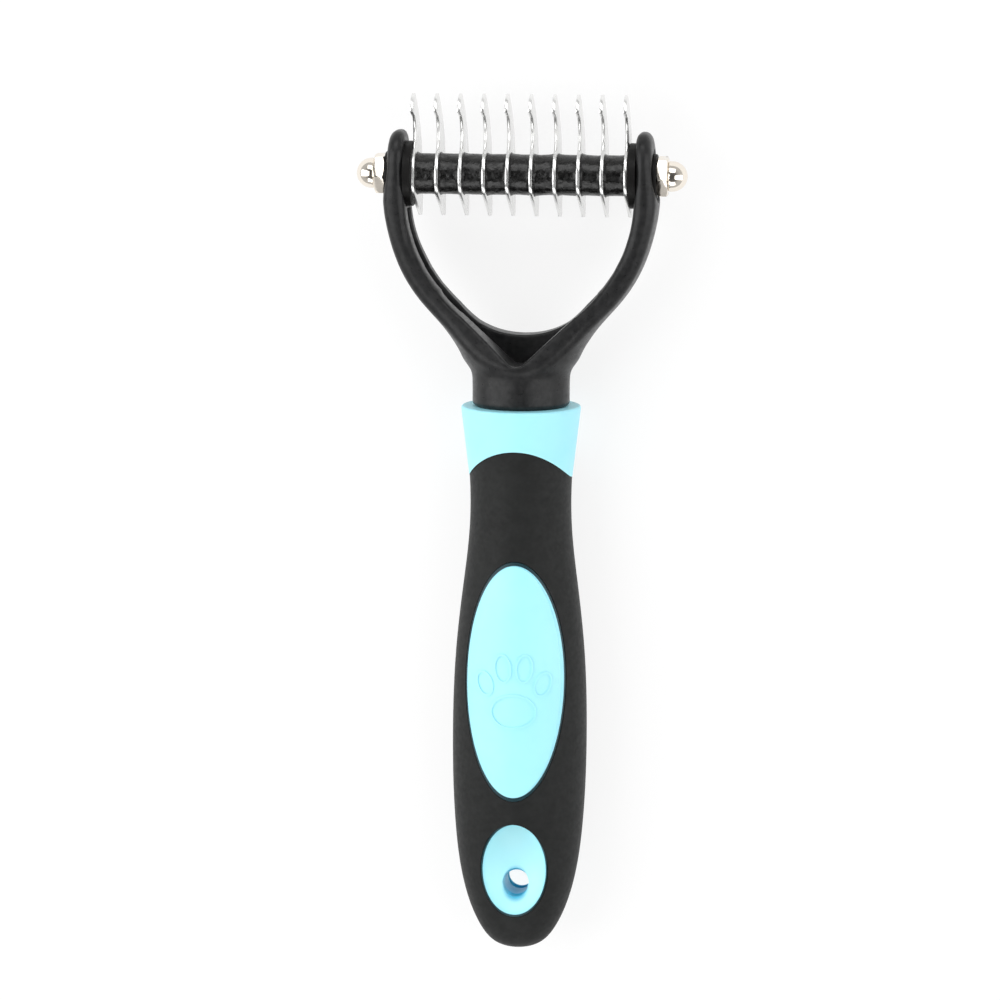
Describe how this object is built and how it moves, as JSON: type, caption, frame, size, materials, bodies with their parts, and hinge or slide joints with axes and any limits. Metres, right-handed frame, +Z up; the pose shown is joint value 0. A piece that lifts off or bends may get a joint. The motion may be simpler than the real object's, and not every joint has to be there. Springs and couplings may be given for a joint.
{
  "type": "undercoat rake",
  "caption": "Hand rake for pet undercoat: a curved overmoulded handle carries a forked yoke that holds a row of hooked steel blades, clamped on an axle by domed nuts.",
  "frame": {"origin": "under the middle of the rake's bounding box, on the surface that it lies on", "axes": "+X across the blade row, +Y from the butt along the handle to the blade tips, +Z up, out of the thumb pad at the front"},
  "size_m": [0.0632, 0.165, 0.0232],
  "materials": {
    "blue_plastic": "light blue moulded plastic, satin gloss",
    "grip_rubber": "matt black soft grip",
    "black_plastic": "black moulded plastic, satin",
    "axle_steel": "plain steel",
    "blade_steel": "bright stamped stainless steel",
    "spacer_rubber": "smooth black rubber, slight shine",
    "nut_nickel": "nickel plated, polished"
  },
  "bodies": {
    "root": {"handle_core": "blue_plastic", "grip_sleeve": "grip_rubber", "yoke": "black_plastic", "axle": "axle_steel", "blade_01": "blade_steel", "blade_02": "blade_steel", "blade_03": "blade_steel", "blade_04": "blade_steel", "blade_05": "blade_steel", "blade_06": "blade_steel", "blade_07": "blade_steel", "blade_08": "blade_steel", "blade_09": "blade_steel", "blade_10": "blade_steel", "spacer_1": "spacer_rubber", "spacer_2": "spacer_rubber", "spacer_3": "spacer_rubber", "spacer_4": "spacer_rubber", "spacer_5": "spacer_rubber", "spacer_6": "spacer_rubber", "spacer_7": "spacer_rubber", "spacer_8": "spacer_rubber", "spacer_9": "spacer_rubber", "end_bush_right": "spacer_rubber", "end_bush_left": "spacer_rubber", "seat_washer_right": "spacer_rubber", "seat_washer_left": "spacer_rubber"},
    "dome_right": {"nut_dome_right": "nut_nickel"},
    "hex_right": {"nut_hex_right": "nut_nickel"},
    "dome_left": {"nut_dome_left": "nut_nickel"},
    "hex_left": {"nut_hex_left": "nut_nickel"}
  },
  "joints": [
    {"name": "nut_travel_right", "type": "slide", "parent": "root", "child": "dome_right", "axis": [1, 0, 0], "range_m": [0, 0.00351]},
    {"name": "nut_turn_right", "type": "hinge", "parent": "dome_right", "child": "hex_right", "pos_m": [0.027, 0.06709, 0.01292], "axis": [1, 0, 0], "range_deg": [0, 1800]},
    {"name": "nut_travel_left", "type": "slide", "parent": "root", "child": "dome_left", "axis": [-1, 0, 0], "range_m": [0, 0.00351]},
    {"name": "nut_turn_left", "type": "hinge", "parent": "dome_left", "child": "hex_left", "pos_m": [-0.027, 0.06709, 0.01292], "axis": [-1, 0, 0], "range_deg": [0, 1800]}
  ],
  "couplings": [
    {"joint": "nut_travel_right", "follows": "nut_turn_right", "m_per_rad": 0.00011141},
    {"joint": "nut_travel_left", "follows": "nut_turn_left", "m_per_rad": 0.00011141}
  ]
}
